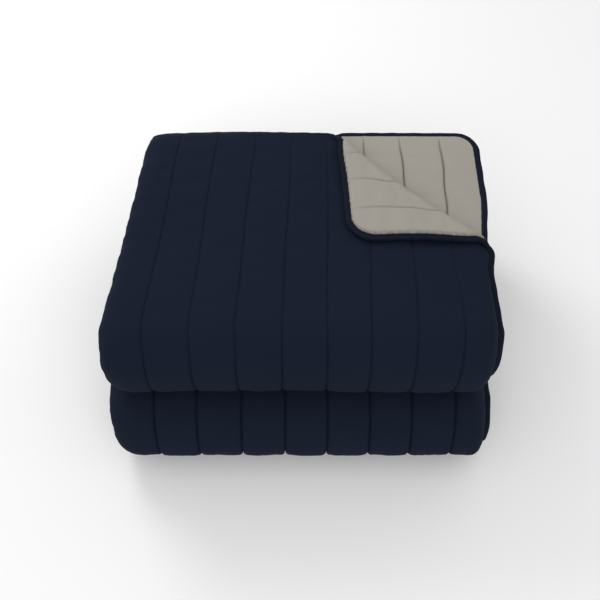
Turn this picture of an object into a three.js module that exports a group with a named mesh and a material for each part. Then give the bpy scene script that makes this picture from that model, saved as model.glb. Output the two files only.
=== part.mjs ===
// A channel-quilted duvet. It is folded in half lengthwise with its reverse inside, then back and forth
// into four sections, with the open back corner of its top layer turned back over the fold.
//
// Millimetres, +Z up. +X runs across the channels, away from the lengthwise fold. +Y runs from the two
// front folds to the open back end. The duvet rests on z = 0, with the origin under the middle of its box.

import * as THREE from 'three';

// The cloth.
const pitch = 75;                 // one sewn channel, 18 of them make a 1350 mm wide single duvet
const seamsAcross = 8;            // seams that show across the folded width
const sectionHeight = 87;         // the duvet folded in half, so two plies
const gap = 3;                    // between plies and between sections
const edgeHalf = 4.5;             // half thickness where the binding grips
const creaseShare = 0.36;         // how far a seam pulls the filling in
const creaseWidth = 11;           // from a seam to the full thickness on each side
const sideTaper = 62;             // from a bound side edge to the full thickness
const endTaper = 60;              // from a bound end to the full thickness
const cornerRadius = 45;          // of the first ply, inside the binding
const underCornerRadius = 30;     // of the second ply
const bindingWidth = 11;
const bindingHalf = 5;
const bindingRound = 0.45;        // share of its width and thickness where its rounded edge starts
const bindingClear = 0.3;         // from the quilt's edge

// The stack, from the front of the lower fold to the back of the back fold.
const depth = 565;
const quiltEdgeX = 322;           // the bound side edges of both plies
const halfFoldX = -293;           // centre of the lengthwise fold
const lowerReach = 92;            // how far each fold stands out from its centre
const upperReach = 72;
const backReach = 66;
const upperSetBack = 25;          // from the lower fold's centre back to the upper one's
const topEdgeSetBack = 29;        // the strip's top end lies inside the back of the stack
const bottomEdgeSetBack = 24;
const foldEndStandsOut = 13;      // that end stands out on the lengthwise fold's side
const underPlyStandsOut = 23;     // and the second ply's by the turned-back corner, where it shows
const standOutRamp = 45;
const standOutFade = 220;
const underPlyWider = 12;         // and its side edge stands out too where the corner is turned back
const underPlyWiderFade = 90;
const underPlyWiderPower = 4;     // it is the outermost channel that is wider
const openFold = 0.85;            // how far the lengthwise fold stays open at the bound ends

// The corner turned back. Its crease runs from the back end to the side edge.
const cornerAlongBack = 256;
const cornerAlongSide = 233;
const cornerHalf = 8;             // half thickness of the pressed corner
const cornerClear = 4;            // between the turned corner and what it lies on
const pressedFlat = 22;           // beside the crease the ply stays pressed
const pressedFade = 170;          // and from there it swells to its full height

// Extra steps along the strip, from its start and back from its end.
const stepsFromStart = [300, 360];
const stepsFromEnd = [200, 46, 14, 0];

const fullHalf = (sectionHeight - 2 * gap) / 4;
const foldArc = Math.PI * (fullHalf + gap / 2);
const flatRun = quiltEdgeX - halfFoldX;
const acrossTotal = 2 * flatRun + foldArc;

const frontY = -depth / 2;
const backY = depth / 2;
const lowerFoldY = frontY + lowerReach;
const upperFoldY = lowerFoldY + upperSetBack;
const backFoldY = backY - backReach;

// The way the folded strip runs, from its open top end to its open bottom end. turn is +1 for a front fold
// and -1 for the back one, side says whether the first ply lies above or below, and the heights are of the
// strip's middle, or of a fold's centre, in sections. At each row's end, width is the share of the full
// width, aside how far the strip lies to one side, fan how far the lengthwise fold spreads and sag how far
// a bound edge sinks. cuts are the steps that the row takes.
const route = [
  { y: backY - topEdgeSetBack, height: 3.5, side: 1, width: 0.918, aside: 13.5, fan: 1, sag: 0 },
  { y: upperFoldY, height: 3.5, side: 1, width: 1, aside: -3, fan: 1.05, sag: 0.15, cuts: 0 },
  { y: upperFoldY, height: 3, turn: 1, side: -1, width: 0.955, aside: -3, fan: 1.28, sag: 0.3, cuts: 8 },
  { y: backFoldY, height: 2.5, side: -1, width: 0.97, aside: 0, fan: 1, sag: 0.45, cuts: 1 },
  { y: backFoldY, height: 2, turn: -1, side: 1, width: 0.985, aside: 0, fan: 1, sag: 0.55, cuts: 6 },
  { y: lowerFoldY, height: 1.5, side: 1, width: 1.015, aside: 1, fan: 1.35, sag: 0.6, cuts: 1 },
  { y: lowerFoldY, height: 1, turn: 1, side: -1, width: 1, aside: 0, fan: 1.15, sag: 0.8, cuts: 8 },
  { y: backY - bottomEdgeSetBack, height: 0.5, side: -1, width: 0.99, aside: 0, fan: 1, sag: 0.9, cuts: 0 },
];
route[2].reach = upperReach;
route[4].reach = backReach;
route[6].reach = lowerReach;

// The length of cloth in each row, and where each row starts along the strip.
let alongTotal = 0;
route.forEach((row, index) => {
  row.start = alongTotal;
  if (index === 0) row.length = 0;
  else if (row.turn) row.length = Math.PI * Math.sqrt((row.reach ** 2 + sectionHeight ** 2) / 8);
  else row.length = Math.abs(row.y - route[index - 1].y);
  alongTotal += row.length;
});

const mix = (from, to, share) => from + (to - from) * share;
const clamp = (value) => Math.min(1, Math.max(0, value));

// Where seams cross the strip, measured from the first ply's bound edge.
const seamsOnPly = Array.from({ length: seamsAcross }, (_, index) => {
  const x = (seamsAcross - 1 - 2 * index) * pitch / 2;
  return quiltEdgeX - x;
});
const middleSeam = acrossTotal / 2;
const seams = [...seamsOnPly, middleSeam, ...seamsOnPly.map((at) => acrossTotal - at).reverse()];

// The crown of a channel: full between the creases, drawn in at a seam, and level along a bound edge.
function crown(across, swollen) {
  const nearest = Math.min(...seams.map((seam) => Math.abs(seam - across)));
  return 1 - creaseShare * swollen * clamp(1 - nearest / creaseWidth);
}

// The strip's place across: x, and the way its navy face looks, as an angle in the strip's own section.
function acrossPlace(across) {
  if (across <= flatRun) return { x: quiltEdgeX - across, angle: Math.PI / 2 };
  if (across >= flatRun + foldArc) return { x: quiltEdgeX - (acrossTotal - across), angle: 1.5 * Math.PI };
  return { x: halfFoldX, angle: Math.PI / 2 + Math.PI * (across - flatRun) / foldArc };
}

// The strip's place along: the row it is in and the share of that row behind it.
function alongPlace(along) {
  let index = 1;
  while (index < route.length - 1 && along > route[index].start + route[index].length) index += 1;
  const row = route[index];
  return { row, before: route[index - 1], share: (along - row.start) / row.length };
}

// How thick the edges leave the strip, from 0 at a bound edge to 1.
function swell(across, along) {
  const side = clamp(Math.min(across, acrossTotal - across) / sideTaper);
  const end = clamp(Math.min(along, alongTotal - along) / endTaper);
  const rounded = (share) => Math.sqrt(1 - (1 - share) ** 2);
  return rounded(side) * rounded(end);
}

// The crease of the turned corner, as a line across the top section seen from above.
const topEdgeY = route[0].y;
const creaseTopX = route[0].width * (quiltEdgeX - cornerAlongBack) + route[0].aside;
const creaseTop = new THREE.Vector2(creaseTopX, topEdgeY);
const cornerShare = cornerAlongSide / route[1].length;
const creaseEndWidth = mix(route[0].width, route[1].width, cornerShare);
const creaseEndAside = mix(route[0].aside, route[1].aside, cornerShare);
const creaseEndX = creaseEndWidth * quiltEdgeX + creaseEndAside;
const creaseEnd = new THREE.Vector2(creaseEndX, topEdgeY - cornerAlongSide);
const creaseWay = creaseEnd.clone().sub(creaseTop).normalize();
const creaseOut = new THREE.Vector2(-creaseWay.y, creaseWay.x);
const creaseTurn = cornerHalf + cornerClear / 2;
const creaseArc = Math.PI * creaseTurn;

const beyondCrease = (x, y) => (x - creaseTop.x) * creaseOut.x + (y - creaseTop.y) * creaseOut.y;

// The turned corner lies at its full width, though the ply that it is part of is gathered a little.
function spreadCorner(x, y, width) {
  const creaseX = creaseTop.x + (topEdgeY - y) * (creaseEnd.x - creaseTop.x) / cornerAlongSide;
  return x + Math.max(0, x - creaseX) * (1 / width - 1);
}

// The first ply's half thickness on the top section, pressed down beside the crease.
function pressed(half, beyond) {
  const risen = mix(cornerHalf, fullHalf, clamp((-beyond - pressedFlat) / pressedFade));
  return Math.min(half, risen);
}

// The point on the duvet for a step across and along the strip. It is lifted off the middle surface by a
// share of the half thickness there. The binding carries it past the edge, and lifts it by a length.
function place(stepAcross, stepAlong, share, past = 0, length = 0) {
  const { across, along } = rounded(stepAcross, stepAlong, past);
  const { x: flatX, angle } = acrossPlace(across);
  const { row, before, share: passed } = alongPlace(along);
  const width = mix(before.width, row.width, passed);
  const aside = mix(before.aside, row.aside, passed);
  const fan = mix(before.fan, row.fan, passed);
  const swollen = swell(stepAcross, stepAlong);
  let half = mix(edgeHalf, fullHalf, swollen);
  const opened = openFold * 2 * (fullHalf - half);
  const under = (1 - Math.sin(angle)) / 2;
  const onTop = row === route[1];
  const wider = onTop ? underPlyWider * clamp((cornerAlongSide - along) / underPlyWiderFade) : 0;
  const widened = wider * under * Math.max(0, flatX / quiltEdgeX) ** underPlyWiderPower;
  const pastEdge = Math.max(0, flatX - quiltEdgeX);
  const gatheredX = width * flatX + (1 - width) * pastEdge + widened + aside;

  const isCorner = onTop && angle === Math.PI / 2;
  const shownShare = clamp((flatX - quiltEdgeX + cornerAlongBack) / standOutRamp + 1);
  const byCorner = shownShare ** 2;
  const endStandsOut = mix(foldEndStandsOut, underPlyStandsOut * under, byCorner);
  const standsOut = onTop ? endStandsOut * clamp(1 - along / standOutFade) : 0;
  const flatY = mix(before.y, row.y, passed) + standsOut;
  const baseX = isCorner ? spreadCorner(gatheredX, flatY, width) : gatheredX;
  const beyond = isCorner ? beyondCrease(baseX, flatY) : -Infinity;
  if (isCorner) half = pressed(half, Math.min(beyond, 0));

  const lift = share * half * crown(stepAcross, swollen) + length;
  const fromMiddle = gap / 2 + half + lift;
  const landed = clamp(beyond / (creaseArc / 2));
  const swollenBelow = landed > 0 ? mix(swollen, landingSwell(baseX, flatY, beyond), landed) : swollen;
  const sunk = mix(before.sag, row.sag, passed) * (1 - swollenBelow) * 2 * (fullHalf - edgeHalf);
  const x = baseX + Math.cos(angle) * (fromMiddle * fan + opened);
  const outward = Math.sin(angle) * fromMiddle;
  const bottom = gap / 2 + sunk;

  if (row.turn) {
    const around = Math.PI / 2 - Math.PI * passed;
    const fromCentre = sectionHeight / 2 + row.turn * outward;
    const reached = row.reach * fromCentre / (sectionHeight - gap / 2);
    const y = row.y - row.turn * reached * Math.cos(around);
    const z = row.height * sectionHeight + fromCentre * Math.sin(around) - bottom;
    return new THREE.Vector3(x, y, z);
  }

  const middleZ = row.height * sectionHeight - bottom;
  const arc = creaseArc / 2;
  if (beyond <= -arc) return new THREE.Vector3(x, flatY, middleZ + row.side * outward);

  // Round the crease, or over it and lying on the ply that it was turned from.
  const turned = Math.min(Math.PI, (beyond + arc) / creaseTurn);
  const inFront = beyond < arc ? -arc + creaseTurn * Math.sin(turned) : -beyond;
  const below = pressed(mix(edgeHalf, fullHalf, swollenBelow), -Math.abs(beyond));
  const lying = gap / 2 + 2 * below + cornerClear + half;
  const height = mix(gap / 2 + half, lying, (1 - Math.cos(turned)) / 2);
  const moved = inFront - beyond - lift * Math.sin(turned);
  return new THREE.Vector3(
    baseX + creaseOut.x * moved,
    flatY + creaseOut.y * moved,
    middleZ + height + lift * Math.cos(turned),
  );
}

// How swollen the ply is where a turned point comes to lie.
function landingSwell(x, y, beyond) {
  const landsX = x - 2 * beyond * creaseOut.x;
  const landsY = y - 2 * beyond * creaseOut.y;
  return swell(quiltEdgeX - landsX, topEdgeY - landsY);
}

// Rounds the duvet's corners, and carries a point that lies beyond its edge round them.
function rounded(across, along, beyond = 0) {
  const sideGap = Math.min(across, acrossTotal - across);
  const endGap = Math.min(along, alongTotal - along);
  const radius = across < acrossTotal / 2 ? cornerRadius : underCornerRadius;
  const side = Math.max(0, 1 - sideGap / radius);
  const end = Math.max(0, 1 - endGap / radius);
  const roundSide = side * Math.sqrt(1 - end * end / 2);
  const roundEnd = end * Math.sqrt(1 - side * side / 2);
  const newSide = side > 0 ? radius - (radius + beyond) * roundSide : sideGap;
  const newEnd = end > 0 ? radius - (radius + beyond) * roundEnd : endGap;
  return {
    across: across < acrossTotal / 2 ? newSide : acrossTotal - newSide,
    along: along < alongTotal / 2 ? newEnd : alongTotal - newEnd,
  };
}

// The steps across: the bound edge, three for each seam, the crease's top end and the lengthwise fold.
function stepsAcross() {
  const onePly = [0, creaseWidth + bindingHalf / 2];
  seamsOnPly.forEach((seam) => onePly.push(seam - creaseWidth, seam, seam + creaseWidth));
  onePly.push(flatRun);
  const mirrored = onePly.map((at) => acrossTotal - at).reverse();
  const roundFold = [-2, -1, 0, 1, 2].map((index) => {
    const step = Math.abs(index) === 1 ? creaseWidth : foldArc / 3;
    return middleSeam + Math.sign(index) * step;
  });
  const creaseSteps = [-2, -1, -0.5, 0, 0.5, 1].map((side) => cornerAlongBack + side * creaseWidth);
  return [...onePly, ...creaseSteps, ...roundFold, ...mirrored].sort((a, b) => a - b);
}

// The steps along. On the top section, whose width changes, they meet the crease where the steps across do.
function stepsAlong(across) {
  const steps = [0, ...stepsFromStart, route[1].length];
  const widening = (route[1].width - route[0].width) / route[1].length;
  const shifting = (route[1].aside - route[0].aside) / route[1].length;
  across.filter((at) => at < cornerAlongBack - creaseWidth).forEach((at) => {
    const fromMiddle = quiltEdgeX - at;
    const toCross = route[0].width * fromMiddle + route[0].aside - creaseTop.x;
    const drift = cornerAlongSide * (widening * fromMiddle + shifting);
    const perStep = creaseEnd.x - creaseTop.x - drift;
    steps.push(cornerAlongSide * toCross / perStep);
  });
  route.slice(2, -1).forEach((row) => {
    for (let cut = 1; cut <= row.cuts; cut += 1) {
      steps.push(row.start + row.length * cut / row.cuts);
    }
  });
  stepsFromEnd.forEach((back) => steps.push(alongTotal - back));
  return steps.sort((a, b) => a - b);
}

const across = stepsAcross();
const along = stepsAlong(across);

function solid(name, points, faces, colour, roughness) {
  const geometry = new THREE.BufferGeometry();
  geometry.setFromPoints(points);
  geometry.setIndex(faces.flat());
  geometry.computeVertexNormals();
  const material = new THREE.MeshStandardMaterial({ color: colour, roughness, metalness: 0 });
  const mesh = new THREE.Mesh(geometry, material);
  mesh.name = name;
  return mesh;
}

// The quilt: its navy face and its reverse over the same grid, closed along the bound edges.
function quilt() {
  const points = [];
  for (const share of [1, -1]) {
    for (const at of across) {
      for (const run of along) {
        points.push(place(at, run, share));
      }
    }
  }
  const rows = along.length;
  const navy = (i, j) => i * rows + j;
  const reverse = (i, j) => (across.length + i) * rows + j;
  const faces = [];
  const lastI = across.length - 1;
  const lastJ = rows - 1;
  for (let i = 0; i < lastI; i += 1) {
    for (let j = 0; j < lastJ; j += 1) {
      faces.push([navy(i, j), navy(i + 1, j), navy(i, j + 1)]);
      faces.push([navy(i + 1, j), navy(i + 1, j + 1), navy(i, j + 1)]);
      faces.push([reverse(i, j), reverse(i, j + 1), reverse(i + 1, j)]);
      faces.push([reverse(i + 1, j), reverse(i, j + 1), reverse(i + 1, j + 1)]);
    }
  }
  const edge = (from, to) => {
    faces.push([navy(...from), navy(...to), reverse(...to)]);
    faces.push([navy(...from), reverse(...to), reverse(...from)]);
  };
  for (let j = 0; j < lastJ; j += 1) {
    edge([0, j], [0, j + 1]);
    edge([lastI, j + 1], [lastI, j]);
  }
  for (let i = 0; i < lastI; i += 1) {
    edge([i + 1, 0], [i, 0]);
    edge([i, lastJ], [i + 1, lastJ]);
  }
  return solid('quilt', points, faces, '#1b2130', 0.9);
}

// The binding: a flat bead that follows the quilt's whole edge, over every fold and round every corner.
function binding() {
  const lastAcross = across.length - 1;
  const lastAlong = along.length - 1;
  const rim = [
    ...across.map((at) => [at, 0]),
    ...along.slice(1).map((run) => [acrossTotal, run]),
    ...across.slice(0, lastAcross).reverse().map((at) => [at, alongTotal]),
    ...along.slice(1, lastAlong).reverse().map((run) => [0, run]),
  ];
  // The section's corners, as lengths past the quilt's edge and off the middle surface.
  const section = [
    [bindingClear, edgeHalf],
    [bindingWidth * bindingRound, bindingHalf],
    [bindingWidth, bindingHalf * bindingRound],
    [bindingWidth, -bindingHalf * bindingRound],
    [bindingWidth * bindingRound, -bindingHalf],
    [bindingClear, -edgeHalf],
  ];
  const points = [];
  rim.forEach(([at, run]) => {
    section.forEach(([beyond, lift]) => {
      points.push(place(at, run, 0, beyond, lift));
    });
  });
  const sides = section.length;
  const faces = [];
  rim.forEach((_, k) => {
    const next = (k + 1) % rim.length;
    for (let m = 0; m < sides; m += 1) {
      const n = (m + 1) % sides;
      faces.push([k * sides + m, next * sides + n, next * sides + m]);
      faces.push([k * sides + m, k * sides + n, next * sides + n]);
    }
  });
  return solid('binding', points, faces, '#141824', 0.85);
}

// The stack's box is centred over the origin.
const duvet = new THREE.Group();
duvet.add(quilt(), binding());
const box = new THREE.Box3().setFromObject(duvet);
duvet.position.set(-(box.min.x + box.max.x) / 2, -(box.min.y + box.max.y) / 2, -box.min.z);

export default duvet;
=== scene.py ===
import math

import bpy
import numpy as np
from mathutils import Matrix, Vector


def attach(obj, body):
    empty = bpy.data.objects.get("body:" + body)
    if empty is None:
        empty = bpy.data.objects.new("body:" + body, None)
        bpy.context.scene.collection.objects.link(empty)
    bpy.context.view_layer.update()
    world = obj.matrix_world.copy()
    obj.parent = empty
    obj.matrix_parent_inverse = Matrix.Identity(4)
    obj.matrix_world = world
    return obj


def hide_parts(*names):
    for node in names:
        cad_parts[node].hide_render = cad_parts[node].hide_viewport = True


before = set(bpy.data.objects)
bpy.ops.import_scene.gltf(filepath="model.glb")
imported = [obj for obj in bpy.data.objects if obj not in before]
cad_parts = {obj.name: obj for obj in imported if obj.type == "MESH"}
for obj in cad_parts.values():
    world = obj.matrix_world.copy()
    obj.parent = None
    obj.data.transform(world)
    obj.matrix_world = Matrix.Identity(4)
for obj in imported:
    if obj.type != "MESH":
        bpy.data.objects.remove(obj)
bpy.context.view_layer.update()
scene = bpy.context.scene
millimetre = 0.001


# The camera stands where the photograph was taken from.
view = {
    "place": (-0.0054, -0.9000, 1.5537),
    "towards": (0.0, 0.5380, -0.8429),
    "lens": 52.29,
    "sensor": 36.0,
}


def addCamera():
    data = bpy.data.cameras.new("camera")
    data.lens = view["lens"]
    data.sensor_width = view["sensor"]
    camera = bpy.data.objects.new("camera", data)
    camera.location = view["place"]
    camera.rotation_mode = "QUATERNION"
    camera.rotation_quaternion = Vector(view["towards"]).to_track_quat("-Z", "Y")
    scene.collection.objects.link(camera)
    scene.camera = camera
    scene.view_settings.view_transform = "Standard"


# A pale floor, a white room and large soft lamps.
studio = {
    "floorSize": 14.0,
    "floorColour": (0.95, 0.95, 0.95, 1.0),
    "floorRoughness": 0.9,
    "floorSpecular": 0.2,
    "roomColour": (1.0, 1.0, 1.0, 1.0),
    "roomStrength": 0.76,
    # name, place, what it looks at, width and length, watts
    "lamps": [
        ("keyLamp", (-1.1, 1.3, 1.7), (0.0, 0.0, 0.3), (0.8, 0.8), 15),
        ("frontLamp", (0.1, -1.9, 2.2), (0.0, 0.0, 0.1), (2.6, 1.0), 15),
    ],
}


def addStudio():
    world = bpy.data.worlds.new("room")
    world.use_nodes = True
    background = world.node_tree.nodes["Background"]
    background.inputs["Color"].default_value = studio["roomColour"]
    background.inputs["Strength"].default_value = studio["roomStrength"]
    scene.world = world

    half = studio["floorSize"] / 2
    corners = [(-half, -half, 0), (half, -half, 0), (half, half, 0), (-half, half, 0)]
    mesh = bpy.data.meshes.new("floor")
    mesh.from_pydata(corners, [], [(0, 1, 2, 3)])
    floor = bpy.data.objects.new("floor", mesh)
    scene.collection.objects.link(floor)
    paint = bpy.data.materials.new("floorPaint")
    paint.use_nodes = True
    shader = paint.node_tree.nodes["Principled BSDF"]
    shader.inputs["Base Color"].default_value = studio["floorColour"]
    shader.inputs["Roughness"].default_value = studio["floorRoughness"]
    shader.inputs["Specular IOR Level"].default_value = studio["floorSpecular"]
    mesh.materials.append(paint)

    for name, place, target, (width, length), watts in studio["lamps"]:
        data = bpy.data.lights.new(name, "AREA")
        data.shape = "RECTANGLE"
        data.size = width
        data.size_y = length
        data.energy = watts
        lamp = bpy.data.objects.new(name, data)
        lamp.location = place
        lamp.rotation_mode = "QUATERNION"
        lamp.rotation_quaternion = (Vector(target) - Vector(place)).to_track_quat("-Z", "Y")
        scene.collection.objects.link(lamp)


# The cloth and the way it is folded, in millimetres, as in the solids.
duvet = {
    "pitch": 75.0,             # one sewn channel
    "seamsAcross": 8,          # across the folded width
    "sectionHeight": 87.0,     # the duvet folded in half, two plies
    "gap": 3.0,
    "edgeHalf": 4.5,           # half thickness at the binding
    "sideTaper": 45.0,         # from the binding to the full thickness
    "foldSideTaper": 22.0,     # round the front folds
    "endTaper": 60.0,
    "cornerRadius": 45.0,      # the first ply's
    "underCornerRadius": 30.0,
    "depth": 565.0,
    "quiltEdgeX": 322.0,
    "halfFoldX": -293.0,
    "lowerReach": 92.0,        # how far each fold stands out from its centre
    "upperReach": 72.0,
    "backReach": 66.0,
    "upperSetBack": 25.0,
    "topEdgeSetBack": 29.0,
    "bottomEdgeSetBack": 24.0,
    "foldEndStandsOut": 13.0,  # the top end stands out on the lengthwise fold's side
    "underPlyStandsOut": 23.0,  # and the second ply's by the turned corner, where it shows
    "standOutFade": 220.0,
    "standOutRamp": 45.0,
    "openFold": 0.85,          # how far the lengthwise fold stays open at the bound ends
    "underPlyWider": 12.0,     # the second ply's side edge stands out there too
    "underPlyWiderFade": 90.0,
    "underPlyWiderPower": 4,   # it is the outermost channel that is wider
    "shiftX": 3.583,           # these put the box's middle over the origin
    "shiftY": -2.5,
}

# The seams draw the filling in along narrow creases between flat crowns.
sewing = {
    "creaseShare": 0.30,       # how far a seam pulls in, as a share of the half thickness
    "topCreaseShare": 0.11,    # less on the top, where the cover lies flat and taut
    "creaseWidth": 7.0,        # from a seam to the flat crown
    "topCreaseWidth": 4.0,
    "topFade": 1.5,            # how fast the top's creases deepen round the upper front fold
    "reverseCreaseShare": 0.42,
    "reverseCreaseWidth": 4.5,
    "crownRise": 1.8,          # how far the middle of a channel stands over its shoulders
    "seamWander": 1.2,         # how far a seam strays from its line
    "cornerWander": 2.2,       # more on the loose corner and the ply below it
    "cornerFade": 1.7,
    "wanderReach": 22.0,
    # two waves that a seam strays by, each with its length and its shift from seam to seam
    "seamWaves": [(61.0, 1.7), (143.0, 1.0)],
    "cornerWaves": [(23.0, 2.9), (41.0, 0.7)],
}

# The corner of the top ply that is turned back.
corner = {
    "alongBack": 256.0,
    "alongSide": 233.0,
    "half": 8.0,               # half thickness of the pressed corner
    "clear": 4.0,              # between it and what it lies on
    "pressedFlat": 22.0,       # beside the crease the ply stays pressed
    "pressedFade": 170.0,      # and from there it swells to its full height
    "bow": 17.0,               # the crease is bowed towards where the corner lies
    "bowReach": 45.0,
    "bowPower": 0.7,
    "edgeBulge": 8.0,          # just in front of the crease the side edge bulges out
    "edgeBulgeReach": 24.0,
    "edgeBulgePower": 6,
}
farFromCrease = 1e6

# The route of the folded strip, from its open top end to its open bottom end. Sag is how far a bound edge
# sinks, aside how far the strip lies to one side, and fan how far the lengthwise fold spreads.
lowerFoldY = -duvet["depth"] / 2 + duvet["lowerReach"]
upperFoldY = lowerFoldY + duvet["upperSetBack"]
backFoldY = duvet["depth"] / 2 - duvet["backReach"]
topEndY = duvet["depth"] / 2 - duvet["topEdgeSetBack"]
bottomEndY = duvet["depth"] / 2 - duvet["bottomEdgeSetBack"]
route = [
    # y, height in sections, turn, reach, side, width, sag, aside, fan
    (topEndY, 3.5, 0, 0.0, 1, 0.918, 0.0, 13.5, 1.0),
    (upperFoldY, 3.5, 0, 0.0, 1, 1.0, 0.15, -3.0, 1.05),
    (upperFoldY, 3.0, 1, duvet["upperReach"], -1, 0.955, 0.3, -3.0, 1.28),
    (backFoldY, 2.5, 0, 0.0, -1, 0.97, 0.45, 0.0, 1.0),
    (backFoldY, 2.0, -1, duvet["backReach"], 1, 0.985, 0.55, 0.0, 1.0),
    (lowerFoldY, 1.5, 0, 0.0, 1, 1.015, 0.6, 1.0, 1.35),
    (lowerFoldY, 1.0, 1, duvet["lowerReach"], -1, 1.0, 0.8, 0.0, 1.15),
    (bottomEndY, 0.5, 0, 0.0, -1, 0.99, 0.9, 0.0, 1.0),
]
rowY, rowHeight, rowTurn, rowReach, rowSide, rowWidth, rowSag, rowAside, rowFan = np.array(route, float).T

fullHalf = (duvet["sectionHeight"] - 2 * duvet["gap"]) / 4
foldArc = math.pi * (fullHalf + duvet["gap"] / 2)
flatRun = duvet["quiltEdgeX"] - duvet["halfFoldX"]
acrossTotal = 2 * flatRun + foldArc

rowLength = np.where(
    rowTurn[1:] != 0,
    math.pi * np.sqrt((rowReach[1:] ** 2 + duvet["sectionHeight"] ** 2) / 8),
    np.abs(np.diff(rowY)),
)
rowEnd = np.cumsum(rowLength)
rowStart = rowEnd - rowLength
alongTotal = rowEnd[-1]

seamX = (duvet["seamsAcross"] - 1 - 2 * np.arange(duvet["seamsAcross"])) * duvet["pitch"] / 2
plySeams = duvet["quiltEdgeX"] - seamX
seams = np.concatenate([plySeams, [acrossTotal / 2], (acrossTotal - plySeams)[::-1]])


def mix(start, end, share):
    return start + (end - start) * share


# A rounded rise from 0 to 1.
def rise(share):
    return np.sqrt(1 - (1 - np.clip(share, 0, 1)) ** 2)


# How swollen the cloth is: nothing along its bound edges, and 1 away from them.
def swell(across, along):
    row = np.searchsorted(rowEnd[:-1], along, side="left")
    inFold = np.sin(math.pi * np.clip((along - rowStart[row]) / rowLength[row], 0, 1))
    onFrontFold = np.where(rowTurn[row + 1] == 1, inFold, 0)
    sideTaper = mix(duvet["sideTaper"], duvet["foldSideTaper"], onFrontFold)
    side = np.minimum(across, acrossTotal - across) / sideTaper
    end = np.minimum(along, alongTotal - along) / duvet["endTaper"]
    return rise(side) * rise(end)


# Smooth unevenness from a few waves, the same each time.
unevenWaves = {
    "count": 5,
    "shortest": 0.45,          # as a share of the longest
    "height": 1.6,
}


def unevenness(seed, longest):
    random = np.random.default_rng(seed)
    count = unevenWaves["count"]
    ways = random.normal(size=(count, 3))
    ways /= np.linalg.norm(ways, axis=1)[:, None]
    lengths = longest * random.uniform(unevenWaves["shortest"], 1.0, count)
    phases = random.uniform(0, 2 * math.pi, count)

    def height(points):
        angles = points @ (ways / lengths[:, None] * 2 * math.pi).T + phases
        return np.sin(angles).mean(axis=-1) * unevenWaves["height"]

    return height


def seamDistance(across):
    return np.abs(across[..., None] - seams).min(axis=-1)


def seamStray(along, waves):
    return math.prod(np.sin(along[..., None] / length + seams * shift) for length, shift in waves)


# How far the cloth beside each seam strays sideways with it.
def wander(across, along):
    near = np.exp(-((across[..., None] - seams) / sewing["wanderReach"]) ** 2)
    stray = (seamStray(along, sewing["seamWaves"]) * near).sum(axis=-1)
    loose = (seamStray(along, sewing["cornerWaves"]) * near).sum(axis=-1)
    fromEdge = np.minimum(across, acrossTotal - across)
    bySide = np.clip(2 - fromEdge / corner["alongBack"] * sewing["cornerFade"], 0, 1)
    byEnd = np.clip(2 - along / corner["alongSide"] * sewing["cornerFade"], 0, 1)
    return sewing["seamWander"] * stray + sewing["cornerWander"] * (bySide * byEnd) * loose


# The share of the half thickness that is left at a seam, and that is reached over the middle of a channel.
def crown(across, swollen, flatness, onReverse):
    distance = seamDistance(across)
    creaseShare = mix(sewing["creaseShare"], sewing["topCreaseShare"], flatness)
    creaseWidth = mix(sewing["creaseWidth"], sewing["topCreaseWidth"], flatness)
    creaseShare = np.where(onReverse, sewing["reverseCreaseShare"], creaseShare)
    creaseWidth = np.where(onReverse, sewing["reverseCreaseWidth"], creaseWidth)
    drawnIn = creaseShare * (1 - rise(distance / creaseWidth))
    domed = sewing["crownRise"] / fullHalf * rise(distance / (duvet["pitch"] / 2))
    return 1 + swollen * (domed - drawnIn)


# The corner's crease, as a line across the top section seen from above.
topEdgeY = rowY[0]
cornerShare = corner["alongSide"] / rowLength[0]
creaseEndWidth = mix(rowWidth[0], rowWidth[1], cornerShare)
creaseEndAside = mix(rowAside[0], rowAside[1], cornerShare)
creaseTopX = rowWidth[0] * (duvet["quiltEdgeX"] - corner["alongBack"]) + rowAside[0]
creaseTop = np.array([creaseTopX, topEdgeY])
creaseEnd = np.array([creaseEndWidth * duvet["quiltEdgeX"] + creaseEndAside, topEdgeY - corner["alongSide"]])
creaseLength = np.linalg.norm(creaseEnd - creaseTop)
creaseWay = (creaseEnd - creaseTop) / creaseLength
creaseOut = np.array([-creaseWay[1], creaseWay[0]])
creaseTurn = corner["half"] + corner["clear"] / 2
creaseArc = math.pi * creaseTurn


# The half thickness where the ply is pressed down beside the crease.
def pressed(half, beyond):
    risen = np.clip((-beyond - corner["pressedFlat"]) / corner["pressedFade"], 0, 1)
    return np.minimum(half, mix(corner["half"], fullHalf, risen))


# Bows the crease, and the top ply beside it.
def bowCrease(places, isCorner):
    fromTop = places[..., :2] - creaseTop
    inMiddle = np.sin(math.pi * np.clip(fromTop @ creaseWay / creaseLength, 0, 1)) ** corner["bowPower"]
    shift = corner["bow"] * inMiddle * np.exp(-((fromTop @ creaseOut / corner["bowReach"]) ** 2))
    bowed = places.copy()
    bowed[..., :2] -= np.where(isCorner, shift, 0)[..., None] * creaseOut
    return bowed


# Rounds the duvet's corners, and carries a point past its edge round them.
def roundCorners(across, along, past):
    radius = np.where(across < acrossTotal / 2, duvet["cornerRadius"], duvet["underCornerRadius"])
    sideGap = np.minimum(across, acrossTotal - across)
    endGap = np.minimum(along, alongTotal - along)
    side = np.maximum(0, 1 - sideGap / radius)
    end = np.maximum(0, 1 - endGap / radius)
    newSide = np.where(side > 0, radius - (radius + past) * side * np.sqrt(1 - end ** 2 / 2), sideGap)
    newEnd = np.where(end > 0, radius - (radius + past) * end * np.sqrt(1 - side ** 2 / 2), endGap)
    newAcross = np.where(across < acrossTotal / 2, newSide, acrossTotal - newSide)
    newAlong = np.where(along < alongTotal / 2, newEnd, alongTotal - newEnd)
    return newAcross, newAlong


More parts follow.
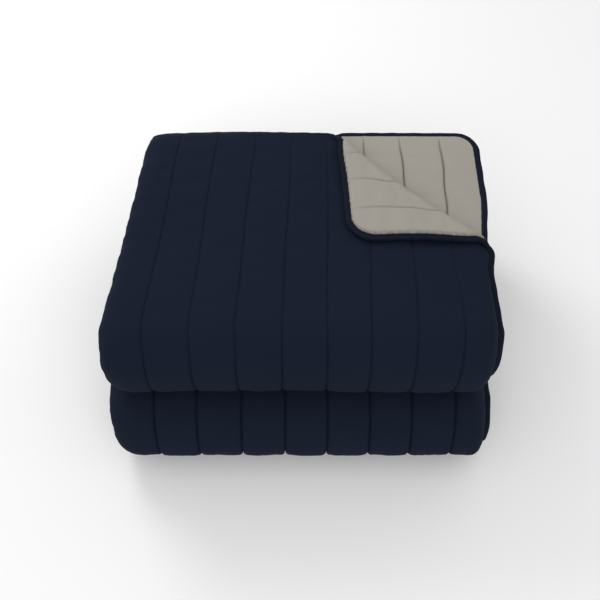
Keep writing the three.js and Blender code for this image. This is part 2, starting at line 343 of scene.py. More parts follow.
# The point of the folded duvet for steps across and along the cloth, lifted off the middle of the filling by
# a share of the half thickness there and by a length. It is carried past the cloth's edge for the binding.
def foldedPlace(stepAcross, stepAlong, share, length=0.0, past=0.0):
    given = np.broadcast_arrays(stepAcross, stepAlong, share, length, past)
    stepAcross, stepAlong, share, length, past = given
    across, along = roundCorners(stepAcross, stepAlong, past)
    across = across + wander(stepAcross, stepAlong)
    folded = np.clip((across - flatRun) / foldArc, 0, 1)
    angle = math.pi / 2 + math.pi * folded
    edgeX = duvet["quiltEdgeX"]
    fromEdge = np.where(folded < 0.5, across, acrossTotal - across)
    flatX = np.maximum(edgeX - fromEdge, duvet["halfFoldX"])

    row = np.searchsorted(rowEnd[:-1], along, side="left")
    passed = (along - rowStart[row]) / rowLength[row]
    alongY, width, sag, aside, fan = (
        mix(values[row], values[row + 1], passed) for values in (rowY, rowWidth, rowSag, rowAside, rowFan)
    )
    height, side, turn, reach = (values[row + 1] for values in (rowHeight, rowSide, rowTurn, rowReach))

    swollen = swell(stepAcross, stepAlong)
    half = mix(duvet["edgeHalf"], fullHalf, swollen)
    opened = duvet["openFold"] * 2 * (fullHalf - half)
    under = (1 - np.sin(angle)) / 2
    onTop = row == 0
    isCorner = onTop & (folded == 0)

    # Near the corner the second ply is wider, and the first one bulges out in front of the crease.
    wider = duvet["underPlyWider"] * np.clip((corner["alongSide"] - along) / duvet["underPlyWiderFade"], 0, 1)
    outermost = np.maximum(0, flatX / edgeX) ** duvet["underPlyWiderPower"]
    widened = np.where(onTop, wider, 0) * under * outermost
    fromBulge = (along - corner["alongSide"] - corner["edgeBulgeReach"]) / corner["edgeBulgeReach"]
    byEdge = np.clip(flatX / edgeX, 0, 1) ** corner["edgeBulgePower"]
    bulge = corner["edgeBulge"] * np.exp(-fromBulge ** 2) * byEdge
    widened = widened + np.where(isCorner, bulge, 0)
    baseX = width * flatX + (1 - width) * np.maximum(0, flatX - edgeX) + widened + aside
    byCorner = np.clip((flatX - edgeX + corner["alongBack"]) / duvet["standOutRamp"] + 1, 0, 1) ** 2
    standsOut = mix(duvet["foldEndStandsOut"], duvet["underPlyStandsOut"] * under, byCorner)
    standsOut = standsOut * np.clip(1 - along / duvet["standOutFade"], 0, 1)
    flatY = alongY + np.where(onTop, standsOut, 0)

    # The turned corner lies at its full width, though the ply that it is part of is gathered a little.
    creaseX = creaseTop[0] + (topEdgeY - flatY) * (creaseEnd[0] - creaseTop[0]) / corner["alongSide"]
    baseX = baseX + np.where(isCorner, np.maximum(0, baseX - creaseX) * (1 / width - 1), 0)
    beyond = (baseX - creaseTop[0]) * creaseOut[0] + (flatY - creaseTop[1]) * creaseOut[1]
    beyond = np.where(isCorner, beyond, -farFromCrease)
    half = np.where(isCorner, pressed(half, np.minimum(beyond, 0)), half)

    ontoFold = 1 - np.clip(passed * sewing["topFade"], 0, 1)
    flatness = np.where(onTop, 1, np.where(row == 1, ontoFold, 0))
    lift = share * half * crown(stepAcross, swollen, flatness, share < 0) + length
    fromMiddle = duvet["gap"] / 2 + half + lift
    landed = np.clip(beyond / (creaseArc / 2), 0, 1)
    landsX = baseX - 2 * beyond * creaseOut[0]
    landsY = flatY - 2 * beyond * creaseOut[1]
    landing = swell(np.where(isCorner, edgeX - landsX, 0), np.where(isCorner, topEdgeY - landsY, 0))
    swollenBelow = np.where(landed > 0, mix(swollen, landing, landed), swollen)
    sunk = sag * (1 - swollenBelow) * 2 * (fullHalf - duvet["edgeHalf"])
    x = baseX + np.cos(angle) * (fromMiddle * fan + opened)
    outward = np.sin(angle) * fromMiddle
    bottom = duvet["gap"] / 2 + sunk

    # Round a fold.
    around = math.pi / 2 - math.pi * passed
    fromCentre = duvet["sectionHeight"] / 2 + turn * outward
    reached = reach * fromCentre / (duvet["sectionHeight"] - duvet["gap"] / 2)
    turnY = rowY[row + 1] - turn * reached * np.cos(around)
    turnZ = height * duvet["sectionHeight"] + fromCentre * np.sin(around) - bottom

    # Along a section.
    middleZ = height * duvet["sectionHeight"] - bottom
    flatZ = middleZ + side * outward

    # Round the corner's crease, or over it and lying on the ply that it was turned from.
    arc = creaseArc / 2
    turned = np.clip((beyond + arc) / creaseTurn, 0, math.pi)
    inFront = np.where(beyond < arc, -arc + creaseTurn * np.sin(turned), -beyond)
    below = pressed(mix(duvet["edgeHalf"], fullHalf, swollenBelow), -np.abs(beyond))
    lying = duvet["gap"] / 2 + 2 * below + corner["clear"] + half
    overHeight = mix(duvet["gap"] / 2 + half, lying, (1 - np.cos(turned)) / 2)
    moved = inFront - beyond - lift * np.sin(turned)
    over = beyond > -arc

    isTurn = turn != 0
    places = np.stack([
        np.where(over, baseX + creaseOut[0] * moved, x),
        np.where(isTurn, turnY, np.where(over, flatY + creaseOut[1] * moved, flatY)),
        np.where(isTurn, turnZ, np.where(over, middleZ + overHeight + lift * np.cos(turned), flatZ)),
    ], axis=-1)
    return settle(bowCrease(places, isCorner))


# The stack isn't quite even: it leans and swells a little, and its underside is flat on what it lies on.
settling = {
    # how far it moves along each axis, by waves of what length, and their seed
    "moves": [(1.6, 520.0, 3), (2.2, 364.0, 11), (1.8, 520.0, 24)],
    "freeHeight": 120.0,       # from this height up it moves in full
}
leans = [(reach, unevenness(seed, longest)) for reach, longest, seed in settling["moves"]]


def settle(places):
    free = np.clip(places[..., 2] / settling["freeHeight"], 0, 1)
    moves = np.stack([reach * lean(places) * free for reach, lean in leans], axis=-1)
    moved = places + moves + [duvet["shiftX"], duvet["shiftY"], 0.0]
    moved[..., 2] = np.maximum(moved[..., 2], 0)
    return moved


# A sample of the cover, blown up between its seams with a little more cloth than the seams have length, so
# that it puckers beside them. Its relief is laid on every channel.
sample = {
    "channels": 3,
    "length": 720.0,
    "step": 4.7,
    "roughness": 0.25,         # of the cover before it is blown up
    "seed": 5,
    "frames": 20,
    "pressure": 4.0,
    "spareCloth": 0.045,
    "quality": 6,
    "mass": 0.2,
    "stretchStiffness": 20,
    "shearStiffness": 8,
    "bendingStiffness": 0.02,
    "cap": 2.0,                # no pucker goes further
    "share": 0.55,             # of the relief that is laid on the duvet
    "freeReach": 30.0,         # from the duvet's edge to the full relief
}

# Where in the sample each channel and each face takes its relief, so that neighbours differ.
picking = {
    "channelStep": 5,
    "faceStep": 2,
    "channelShift": 37.0,
    "faceShift": 61.0,
    "shiftWithin": 113.0,
    "endShift": 17,
    "endReach": 45.0,          # beside the two ends the cover puckers on the binding's stitches instead
}


def gridFaces(index):
    corners = [index[:-1, :-1], index[1:, :-1], index[1:, 1:], index[:-1, 1:]]
    return np.stack(corners, axis=-1).reshape(-1, 4)


def blowUp(cover):
    cloth = cover.modifiers.new("blownUp", "CLOTH")
    settings = cloth.settings
    settings.quality = sample["quality"]
    settings.mass = sample["mass"]
    settings.tension_stiffness = sample["stretchStiffness"]
    settings.compression_stiffness = sample["stretchStiffness"]
    settings.shear_stiffness = sample["shearStiffness"]
    settings.bending_stiffness = sample["bendingStiffness"]
    settings.vertex_group_mass = "sewn"
    settings.shrink_min = -sample["spareCloth"]
    settings.use_pressure = True
    settings.uniform_pressure_force = sample["pressure"]
    settings.effector_weights.gravity = 0
    cloth.collision_settings.use_collision = False
    cloth.collision_settings.use_self_collision = False
    cloth.point_cache.frame_start = 1
    cloth.point_cache.frame_end = sample["frames"]
    for number in range(1, sample["frames"] + 1):
        scene.frame_set(number)
    blown = cover.evaluated_get(bpy.context.evaluated_depsgraph_get()).to_mesh()
    found = np.zeros(len(blown.vertices) * 3)
    blown.vertices.foreach_get("co", found)
    scene.frame_set(1)
    return found / millimetre


def sewSample():
    perChannel = round(duvet["pitch"] / sample["step"])
    columns = sample["channels"] * perChannel + 1
    rows = round(sample["length"] / sample["step"]) + 1
    x, y = np.meshgrid(
        np.arange(columns) * duvet["pitch"] / perChannel,
        np.linspace(0, sample["length"], rows),
        indexing="ij",
    )
    random = np.random.default_rng(sample["seed"])
    z = random.normal(0, sample["roughness"], x.shape)
    z[::perChannel] = 0
    rough = np.stack([x, y, z], axis=-1)
    index = np.arange(columns * rows).reshape(columns, rows)
    mesh = bpy.data.meshes.new("coverSample")
    mesh.from_pydata((rough.reshape(-1, 3) * millimetre).tolist(), [], gridFaces(index).tolist())
    cover = bpy.data.objects.new("coverSample", mesh)
    scene.collection.objects.link(cover)
    sewn = cover.vertex_groups.new(name="sewn")
    sewn.add(index[::perChannel].ravel().tolist(), 1.0, "REPLACE")

    flat = np.stack([x, y, np.zeros_like(x)], axis=-1)
    relief = blowUp(cover).reshape(columns, rows, 3) - flat
    bpy.data.objects.remove(cover)
    relief -= relief.mean(axis=1, keepdims=True)  # the duvet has its own crown
    print("sample of the cover, puckers up to", np.abs(relief).max(axis=(0, 1)).round(2), "mm")
    return np.clip(relief, -sample["cap"], sample["cap"]) * sample["share"], perChannel


def readSample(relief, column, row):
    justInside = 1.001
    column = np.clip(column, 0, relief.shape[0] - justInside)
    last = relief.shape[1] - justInside
    row = last - np.abs(np.mod(row, 2 * last) - last)  # back and forth along the sample
    i, j = column.astype(int), row.astype(int)
    u, v = (column - i)[..., None], (row - j)[..., None]
    return mix(mix(relief[i, j], relief[i + 1, j], u), mix(relief[i, j + 1], relief[i + 1, j + 1], u), v)


# The sample's relief for a place on one face of the cloth: sideways, lengthwise and outwards.
def puckers(relief, perChannel, across, along, face):
    lines = np.concatenate([[0.0], seams, [acrossTotal]])
    channel = np.clip(np.searchsorted(lines, across, side="right") - 1, 0, len(lines) - 2)
    share = (across - lines[channel]) / (lines[channel + 1] - lines[channel])
    pick = (channel * picking["channelStep"] + face * picking["faceStep"]) % sample["channels"]
    shift = (channel * picking["channelShift"] + face * picking["faceShift"]) % picking["shiftWithin"]
    beside = readSample(relief, (pick + share) * perChannel, along / sample["step"] + shift)
    fromEnd = np.minimum(along, alongTotal - along)
    endColumn = np.clip(fromEnd / duvet["pitch"], 0, 1) * perChannel
    endRow = across / sample["step"] + picking["endShift"] * face
    atEnd = readSample(relief, endColumn, endRow)[..., [1, 0, 2]]
    near = np.clip(1 - fromEnd / picking["endReach"], 0, 1)[..., None]
    return mix(beside, atEnd, near)


# Beside the binding the cover puffs out over the tape a little, unevenly, between its stitches.
edging = {
    "puff": 3.0,
    "inside": 3.2,             # where it puffs most, from the edge
    "held": 0.8,               # the edge itself stays under the tape
    "mean": 0.5,
    # height, length and start of each wave along the edge, and what the first one drifts by
    "stitchWave": (0.35, 2.3, 0.0),
    "drift": (2.0, 31.0),
    "fineWave": (0.3, 4.1, 1.3),
    "sideShift": 331.0,
    "least": -0.2,
    "most": 1.1,
}


def edgePuff(across, along):
    gaps = np.stack([across, acrossTotal - across, along, alongTotal - along])
    nearest = gaps.argmin(axis=0)
    inside = gaps.min(axis=0)
    run = np.where(nearest < 2, along, across) + edging["sideShift"] * nearest
    drift = edging["drift"][0] * np.sin(run / edging["drift"][1])
    uneven = edging["mean"]
    for (height, length, start), moved in ((edging["stitchWave"], drift), (edging["fineWave"], 0.0)):
        uneven = uneven + height * np.sin(run / length + start + moved)
    near = np.exp(-((inside - edging["inside"]) / edging["inside"]) ** 2)
    near = near * np.clip(inside / edging["held"], 0, 1)
    outward = edging["puff"] * near * np.clip(uneven, edging["least"], edging["most"])
    ways = np.array([(-1, 0), (1, 0), (0, -1), (0, 1)])[nearest]
    return ways * outward[..., None]


# How closely the cover is divided, across and along the cloth.
division = {
    "besideSeam": [0.0, 1.2, 3.0, 5.6, 10.0, 18.0, 28.0],
    "besideEdge": [0.0, 0.8, 2.4, 5.0, 8.8, 14.0, 21.0],
    "leastStep": 0.6,
    "acrossGap": 11.0,
    "cornerGap": 5.5,
    "cornerReach": 268.0,
    "foldGap": 5.5,
    "roundFoldGap": 4.5,       # round the lengthwise fold
    "runGap": 18.0,
    "topGap": 8.0,
}


def fillGaps(steps, widest):
    steps = np.unique(np.round(steps, 4))
    filled = [steps[:1]]
    for start, end in zip(steps[:-1], steps[1:]):
        count = max(1, math.ceil((end - start) / widest - 1e-6))
        filled.append(np.linspace(start, end, count + 1)[1:])
    return np.concatenate(filled)


def dividedAcross():
    beside = np.array(division["besideSeam"])
    edge = np.array(division["besideEdge"])
    roundFold = fillGaps(np.array([flatRun, flatRun + foldArc]), division["roundFoldGap"])
    steps = [edge, acrossTotal - edge, roundFold]
    for seam in seams:
        steps += [seam + beside, seam - beside]
    steps = np.concatenate(steps)
    steps = steps[(steps >= 0) & (steps <= acrossTotal)]
    steps.sort()
    keep = [steps[0]]
    for step in steps[1:]:
        if step - keep[-1] > division["leastStep"]:
            keep.append(step)
    keep[-1] = acrossTotal
    keep = np.array(keep)
    inCorner = fillGaps(keep[keep <= division["cornerReach"]], division["cornerGap"])
    return np.unique(np.round(np.concatenate([inCorner, fillGaps(keep, division["acrossGap"])]), 4))


def dividedAlong():
    edge = np.array(division["besideEdge"])
    steps = [fillGaps(np.concatenate([edge, [division["cornerReach"]]]), division["cornerGap"])]
    gaps = [division["topGap"]]
    gaps += [division["foldGap"] if turn else division["runGap"] for turn in rowTurn[2:]]
    for index, gap in enumerate(gaps):
        start = max(rowStart[index], division["cornerReach"]) if index == 0 else rowStart[index]
        end = rowEnd[index] if index < len(gaps) - 1 else alongTotal - edge[-1]
        steps.append(fillGaps(np.array([start, end]), gap))
    steps.append(alongTotal - edge)
    return np.unique(np.round(np.concatenate(steps), 4))


# The two faces of the cover over one grid, closed along the bound edge. Faces know which side they are on.
def buildQuilt(relief, perChannel):
    acrossSteps = dividedAcross()
    alongSteps = dividedAlong()
    across, along = np.meshgrid(acrossSteps, alongSteps, indexing="ij")
    inside = np.minimum.reduce([across, acrossTotal - across, along, alongTotal - along])
    free = rise(inside / sample["freeReach"])
    points = []
    for face, share in enumerate([1, -1]):
        move = puckers(relief, perChannel, across, along, face) * free[..., None]
        move[..., :2] += edgePuff(across, along)
        points.append(foldedPlace(across + move[..., 0], along + move[..., 1], share, share * move[..., 2]))
    points = np.concatenate([face.reshape(-1, 3) for face in points])

    columns, rows = across.shape
    navy = np.arange(columns * rows).reshape(columns, rows)
    reverse = navy + columns * rows
    quads = [gridFaces(navy), gridFaces(reverse)[:, [0, 3, 2, 1]]]
    rim = np.concatenate([navy[:, 0], navy[-1, 1:], navy[-2::-1, -1], navy[0, -2:0:-1]])
    ahead = np.roll(rim, -1)
    shift = columns * rows
    quads.append(np.stack([ahead, rim, rim + shift, ahead + shift], axis=-1))
    sides = np.concatenate([np.full(len(q), n) for n, q in zip((0, 1, 0), quads)])
    cloth = np.stack([across, along], axis=-1).reshape(-1, 2)
    quilt = meshPiece("quiltedDuvet", points, np.concatenate(quads), np.concatenate([cloth, cloth]), sides)
    return quilt, acrossSteps, alongSteps


# A mesh in metres with the cloth's own lengthwise and crosswise lengths as its UV map.
def meshPiece(name, points, faces, cloth, materialNumbers=None):
    mesh = bpy.data.meshes.new(name)
    mesh.from_pydata((points * millimetre).tolist(), [], faces.tolist())
    corners = np.zeros(len(mesh.loops), int)
    mesh.loops.foreach_get("vertex_index", corners)
    layer = mesh.uv_layers.new(name="cloth")
    layer.data.foreach_set("uv", (cloth[corners] * millimetre).ravel())
    mesh.polygons.foreach_set("use_smooth", [True] * len(mesh.polygons))
    if materialNumbers is not None:
        mesh.polygons.foreach_set("material_index", materialNumbers.astype(int).tolist())
    mesh.update()
    piece = bpy.data.objects.new(name, mesh)
    scene.collection.objects.link(piece)
    return piece


# The binding: tape folded over the edge, sewn down near its inner borders.
tape = {
    "width": 11.0,
    "half": 5.0,
    # past the quilt's edge and off the middle, in shares of the width and of the half thickness
    "section": [
        (0.00, 0.90), (0.10, 1.02), (0.20, 0.97), (0.30, 1.04), (0.50, 1.05), (0.72, 0.98),
        (0.88, 0.76), (0.97, 0.42), (1.00, 0.0),
    ],
    "uneven": 0.07,
    # how many waves go into its whole length: two that bulge it together, a finer one, and one in its width
    "bulgeWaves": (211, 37),
    "fineWaves": 463,
    "fineShare": 0.6,
    "widthWaves": 149,
    "widthShare": 0.5,
}


def rimSteps(acrossSteps, alongSteps):
    lastAcross, lastAlong = acrossSteps[-1], alongSteps[-1]
    rim = [(at, 0.0) for at in acrossSteps]
    rim += [(lastAcross, run) for run in alongSteps[1:]]
    rim += [(at, lastAlong) for at in acrossSteps[-2::-1]]
    rim += [(0.0, run) for run in alongSteps[-2:0:-1]]
    return np.array(rim)


def buildBinding(acrossSteps, alongSteps):
    rim = rimSteps(acrossSteps, alongSteps)
    upper = np.array(tape["section"])
    section = np.concatenate([upper, upper[-2::-1] * [1, -1]]) * [tape["width"], tape["half"]]
    lengths = np.linalg.norm(np.roll(rim, -1, axis=0) - rim, axis=1)
    lengthAlong = np.concatenate([[0], np.cumsum(lengths)[:-1]])
    wave = 2 * math.pi * lengthAlong / lengths.sum()
    many, few = tape["bulgeWaves"]
    fine = tape["fineShare"] * np.sin(wave * tape["fineWaves"] + 2)
    bulge = 1 + tape["uneven"] * (np.sin(wave * many + 1) * np.sin(wave * few) + fine)
    reach = 1 + tape["widthShare"] * tape["uneven"] * np.sin(wave * tape["widthWaves"] + 4)
    past = section[None, :, 0] * reach[:, None]
    isBorder = np.isin(np.arange(len(section)), (0, len(section) - 1))
    lift = section[None, :, 1] * np.where(isBorder, 1, bulge[:, None])
    points = foldedPlace(rim[:, :1], rim[:, 1:], 0.0, lift, past)
    index = np.arange(past.size).reshape(past.shape)
    ahead = np.roll(index, -1, axis=0)
    beside = np.roll(index, -1, axis=1)
    faces = np.stack([index, beside, np.roll(ahead, -1, axis=1), ahead], axis=-1).reshape(-1, 4)
    acrossTape = np.concatenate([[0], np.cumsum(np.linalg.norm(np.diff(section, axis=0), axis=1))])
    cloth = np.stack(np.broadcast_arrays(acrossTape[None, :], lengthAlong[:, None]), axis=-1).reshape(-1, 2)
    return meshPiece("edgeBinding", points.reshape(-1, 3), faces, cloth)


# Stitches: short grains of thread laid end to end along every sewn line that shows.
stitching = {
    "spacing": 3.6,
    "length": 3.0,
    "threadRadius": 0.34,
    "segments": 6,
    "rings": 4,
    "raised": 0.15,
    "lineStep": 4.0,
    "fromEnd": 9.0,            # a seam stops where the binding starts
    "pastFold": 12.0,          # past the fold that it shows round
    "under": 40.0,             # below the stack
    "pastCorner": 20.0,
    "tapeLine": 0.20,          # from the quilt's edge, as a share of the tape's width
    "tapeShare": 0.97,         # of the tape's half thickness there
}


def link(tree, source, target):
    tree.links.new(source, target)


def stitchTree():
    tree = bpy.data.node_groups.new("stitches", "GeometryNodeTree")
    add = tree.interface.new_socket
    add("Lines", in_out="INPUT", socket_type="NodeSocketGeometry")
    for name in ("Spacing", "Length", "Thread radius"):
        add(name, in_out="INPUT", socket_type="NodeSocketFloat")
    add("Thread", in_out="INPUT", socket_type="NodeSocketMaterial")
    add("Stitches", in_out="OUTPUT", socket_type="NodeSocketGeometry")
    nodes = tree.nodes
    given = nodes.new("NodeGroupInput")
    made = nodes.new("NodeGroupOutput")
    toCurve = nodes.new("GeometryNodeMeshToCurve")
    spread = nodes.new("GeometryNodeCurveToPoints")
    spread.mode = "LENGTH"
    along = nodes.new("FunctionNodeAlignRotationToVector")
    along.axis = "Z"
    grain = nodes.new("GeometryNodeMeshUVSphere")
    grain.inputs["Segments"].default_value = stitching["segments"]
    grain.inputs["Rings"].default_value = stitching["rings"]
    grain.inputs["Radius"].default_value = 1.0
    halfLength = nodes.new("ShaderNodeMath")
    halfLength.operation = "MULTIPLY"
    halfLength.inputs[1].default_value = 0.5
    size = nodes.new("ShaderNodeCombineXYZ")
    place = nodes.new("GeometryNodeInstanceOnPoints")
    real = nodes.new("GeometryNodeRealizeInstances")
    smooth = nodes.new("GeometryNodeSetShadeSmooth")
    finish = nodes.new("GeometryNodeSetMaterial")
    link(tree, given.outputs["Lines"], toCurve.inputs["Mesh"])
    link(tree, toCurve.outputs["Curve"], spread.inputs["Curve"])
    link(tree, given.outputs["Spacing"], spread.inputs["Length"])
    link(tree, spread.outputs["Tangent"], along.inputs["Vector"])
    link(tree, given.outputs["Length"], halfLength.inputs[0])
    link(tree, given.outputs["Thread radius"], size.inputs["X"])
    link(tree, given.outputs["Thread radius"], size.inputs["Y"])
    link(tree, halfLength.outputs["Value"], size.inputs["Z"])
    link(tree, spread.outputs["Points"], place.inputs["Points"])
    link(tree, grain.outputs["Mesh"], place.inputs["Instance"])
    link(tree, along.outputs["Rotation"], place.inputs["Rotation"])
    link(tree, size.outputs["Vector"], place.inputs["Scale"])
    link(tree, place.outputs["Instances"], real.inputs["Geometry"])
    link(tree, real.outputs["Geometry"], smooth.inputs["Geometry"])
    link(tree, smooth.outputs["Geometry"], finish.inputs["Geometry"])
    link(tree, given.outputs["Thread"], finish.inputs["Material"])
    link(tree, finish.outputs["Geometry"], made.inputs["Stitches"])
    return tree


def sewLines(name, tree, lines, thread):
    points = np.concatenate(lines) * millimetre
    edges, start = [], 0
    for line in lines:
        edges += [(start + k, start + k + 1) for k in range(len(line) - 1)]
        start += len(line)
    mesh = bpy.data.meshes.new(name)
    mesh.from_pydata(points.tolist(), edges, [])
    guide = bpy.data.objects.new(name + "Lines", mesh)
    scene.collection.objects.link(guide)
    sewn = guide.modifiers.new("stitches", "NODES")
    sewn.node_group = tree
    values = {
        "Spacing": stitching["spacing"] * millimetre,
        "Length": stitching["length"] * millimetre,
        "Thread radius": stitching["threadRadius"] * millimetre,
        "Thread": thread,
    }
    for item in tree.interface.items_tree:
        if item.in_out == "INPUT" and item.name in values:
            sewn[item.identifier] = values[item.name]
    found = guide.evaluated_get(bpy.context.evaluated_depsgraph_get())
    stitches = bpy.data.objects.new(name, bpy.data.meshes.new_from_object(found))
    scene.collection.objects.link(stitches)
    bpy.data.objects.remove(guide)
    print(name, len(stitches.data.polygons), "faces")
    return stitches


# Seams show on the face over the top, both front folds and the back one, and on the reverse by the corner.
def seamLines():
    faceLines, reverseLines = [], []
    raised = stitching["raised"]
    fromEnd = stitching["fromEnd"]
    past = stitching["pastFold"]
    cornerEnd = corner["alongSide"] + stitching["pastCorner"]
    firstShown = [(fromEnd, rowEnd[1] + past), (rowStart[5] - past, rowEnd[5] + stitching["under"])]
    secondShown = [(rowStart[3] - past, rowEnd[3] + past)]

    def line(seam, start, end, share):
        runs = np.arange(start, end, stitching["lineStep"])
        return foldedPlace(np.full_like(runs, seam), runs, share, share * raised)

    for seam in plySeams:
        faceLines += [line(seam, start, end, 1.0) for start, end in firstShown]
        faceLines += [line(acrossTotal - seam, start, end, 1.0) for start, end in secondShown]
        if seam < division["cornerReach"]:
            reverseLines.append(line(seam, fromEnd, cornerEnd, -1.0))
            reverseLines.append(line(acrossTotal - seam, fromEnd, cornerEnd, -1.0))
    faceLines.append(line(acrossTotal / 2, fromEnd, alongTotal - fromEnd, 1.0))
    return faceLines, reverseLines


# One line of stitches along each border of the tape.
def tapeLines(acrossSteps, alongSteps):
    rim = rimSteps(acrossSteps, alongSteps)
    rim = np.concatenate([rim, rim[:1]])
    past = tape["width"] * stitching["tapeLine"]
    lift = tape["half"] * stitching["tapeShare"] + stitching["raised"]
    return [foldedPlace(rim[:, 0], rim[:, 1], 0.0, side * lift, past) for side in (1, -1)]


# A shader's colour from one given as on a screen, from 0 to 255.
def colourOf(*screen):
    shares = [value / 255 for value in screen]
    return [((c + 0.055) / 1.055) ** 2.4 if c > 0.04 else c / 12.92 for c in shares] + [1.0]


def addNoise(tree, vector, scale, detail):
    noise = tree.nodes.new("ShaderNodeTexNoise")
    noise.inputs["Scale"].default_value = scale
    noise.inputs["Detail"].default_value = detail
    link(tree, vector, noise.inputs["Vector"])
    return noise.outputs["Fac"]


def addBump(tree, height, strength, distance):
    bump = tree.nodes.new("ShaderNodeBump")
    bump.inputs["Strength"].default_value = strength
    bump.inputs["Distance"].default_value = distance
    link(tree, height, bump.inputs["Height"])
    return bump


# Brushed microfibre: a close plain weave under a short nap, with a soft sheen.
fabrics = {
    "navyCloth": {
        "colour": (21, 27, 41), "paler": (26, 32, 47), "patchShare": 0.35, "roughness": 0.9,
        "sheen": 0.04, "sheenTint": (50, 58, 80), "sheenRoughness": 0.5,
        "thread": 0.9, "weaveDepth": 0.10, "napDepth": 0.12,
    },
    "beigeCloth": {
        "colour": (152, 148, 140), "paler": (158, 154, 146), "patchShare": 0.35, "roughness": 0.92,
        "sheen": 0.04, "sheenTint": (160, 156, 148), "sheenRoughness": 0.5,
        "thread": 0.9, "weaveDepth": 0.08, "napDepth": 0.12,
    },
    "bindingTape": {
        "colour": (19, 24, 37), "paler": (23, 29, 42), "patchShare": 0.3, "roughness": 0.8,
        "sheen": 0.03, "sheenTint": (50, 58, 80), "sheenRoughness": 0.45,
        "thread": 0.7, "weaveDepth": 0.16, "napDepth": 0.05,
    },
}

# What the three fabrics share. Heights are in metres.
fabricSurface = {
    "specular": 0.05,
    "patchScale": 9.0,
    "patchDetail": 5.0,
    "napScale": 900.0,
    "napDetail": 2.0,
    "palerFrom": 0.35,
    "threadsPerMetre": 50.0,   # for a thread of 1 mm, in the wave texture's scale
    "threadWaver": 0.6,
    "threadDetail": 1.0,
    "weaveHeight": 0.0004,
    "napHeight": 0.0006,
}


def makeFabric(name):
    finish = fabrics[name]
    material = bpy.data.materials.new(name)
    material.use_nodes = True
    tree = material.node_tree
    nodes = tree.nodes
    shader = nodes["Principled BSDF"]
    shader.inputs["Roughness"].default_value = finish["roughness"]
    shader.inputs["Sheen Weight"].default_value = finish["sheen"]
    shader.inputs["Sheen Roughness"].default_value = finish["sheenRoughness"]
    shader.inputs["Sheen Tint"].default_value = colourOf(*finish["sheenTint"])
    shader.inputs["Specular IOR Level"].default_value = fabricSurface["specular"]

    place = nodes.new("ShaderNodeTexCoord").outputs["Object"]
    patches = addNoise(tree, place, fabricSurface["patchScale"], fabricSurface["patchDetail"])
    nap = addNoise(tree, place, fabricSurface["napScale"], fabricSurface["napDetail"])
    blend = nodes.new("ShaderNodeMath")
    blend.operation = "MULTIPLY_ADD"
    blend.inputs[1].default_value = finish["patchShare"]
    link(tree, patches, blend.inputs[0])
    link(tree, nap, blend.inputs[2])
    ramp = nodes.new("ShaderNodeValToRGB")
    ramp.color_ramp.elements[0].position = fabricSurface["palerFrom"]
    ramp.color_ramp.elements[0].color = colourOf(*finish["colour"])
    ramp.color_ramp.elements[1].position = 1.0
    ramp.color_ramp.elements[1].color = colourOf(*finish["paler"])
    link(tree, blend.outputs["Value"], ramp.inputs["Fac"])
    link(tree, ramp.outputs["Color"], shader.inputs["Base Color"])

    # Warp and weft follow the cloth's own lengths.
    cloth = nodes.new("ShaderNodeUVMap")
    cloth.uv_map = "cloth"
    crossing = nodes.new("ShaderNodeMath")
    crossing.operation = "MULTIPLY"
    for number, axis in enumerate(("X", "Y")):
        wave = nodes.new("ShaderNodeTexWave")
        wave.bands_direction = axis
        wave.inputs["Scale"].default_value = fabricSurface["threadsPerMetre"] / finish["thread"]
        wave.inputs["Distortion"].default_value = fabricSurface["threadWaver"]
        wave.inputs["Detail"].default_value = fabricSurface["threadDetail"]
        link(tree, cloth.outputs["UV"], wave.inputs["Vector"])
        link(tree, wave.outputs["Fac"], crossing.inputs[number])
    weaveBump = addBump(tree, crossing.outputs["Value"], finish["weaveDepth"], fabricSurface["weaveHeight"])
    napBump = addBump(tree, nap, finish["napDepth"], fabricSurface["napHeight"])
    link(tree, weaveBump.outputs["Normal"], napBump.inputs["Normal"])
    link(tree, napBump.outputs["Normal"], shader.inputs["Normal"])
    return material


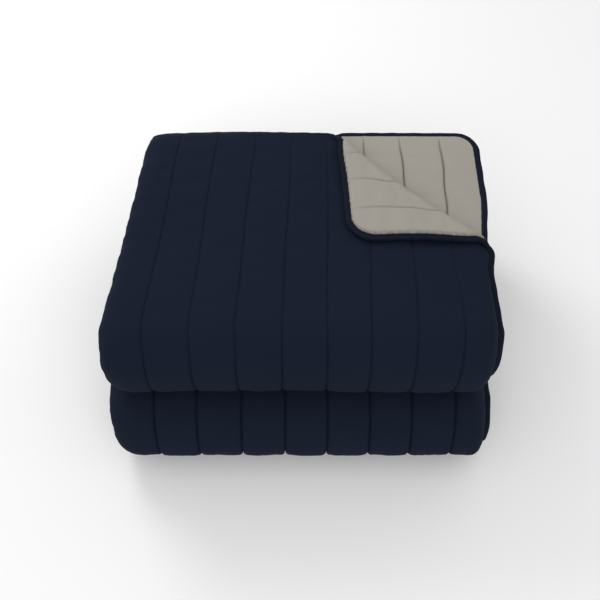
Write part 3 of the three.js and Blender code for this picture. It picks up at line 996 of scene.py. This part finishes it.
# Polyester thread, a little shinier than the cloth.
threadColours = {
    "navyThread": (26, 32, 47),
    "beigeThread": (150, 146, 136),
}
threadSurface = {
    "roughness": 0.55,
    "specular": 0.3,
    "fibreScale": 2600.0,
    "fibreDetail": 2.0,
    "fibreDepth": 0.3,
    "fibreHeight": 0.0002,
}


def makeThread(name):
    material = bpy.data.materials.new(name)
    material.use_nodes = True
    tree = material.node_tree
    shader = tree.nodes["Principled BSDF"]
    shader.inputs["Base Color"].default_value = colourOf(*threadColours[name])
    shader.inputs["Roughness"].default_value = threadSurface["roughness"]
    shader.inputs["Specular IOR Level"].default_value = threadSurface["specular"]
    place = tree.nodes.new("ShaderNodeTexCoord").outputs["Object"]
    fibres = addNoise(tree, place, threadSurface["fibreScale"], threadSurface["fibreDetail"])
    bump = addBump(tree, fibres, threadSurface["fibreDepth"], threadSurface["fibreHeight"])
    link(tree, bump.outputs["Normal"], shader.inputs["Normal"])
    return material


addCamera()
addStudio()
print("camera and studio")
materials = {name: makeFabric(name) for name in fabrics}
materials.update({name: makeThread(name) for name in threadColours})
print("materials", ", ".join(materials))
relief, perChannel = sewSample()
quilt, acrossSteps, alongSteps = buildQuilt(relief, perChannel)
quilt.data.materials.append(materials["navyCloth"])
quilt.data.materials.append(materials["beigeCloth"])
print("quilt", len(quilt.data.polygons) * 2, "triangles, steps", len(acrossSteps), len(alongSteps))
binding = buildBinding(acrossSteps, alongSteps)
binding.data.materials.append(materials["bindingTape"])
print("binding", len(binding.data.polygons) * 2, "triangles")
stitches = stitchTree()
faceLines, reverseLines = seamLines()
faceStitches = sewLines("faceStitches", stitches, faceLines, materials["navyThread"])
reverseStitches = sewLines("reverseStitches", stitches, reverseLines, materials["beigeThread"])
tapeStitches = sewLines("tapeStitches", stitches, tapeLines(acrossSteps, alongSteps), materials["navyThread"])

for piece, node in ((quilt, "quilt"), (binding, "binding")):
    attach(piece, "root")
    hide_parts(node)
for piece, slot in ((faceStitches, "quilt"), (reverseStitches, "quilt"), (tapeStitches, "binding")):
    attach(piece, "root")
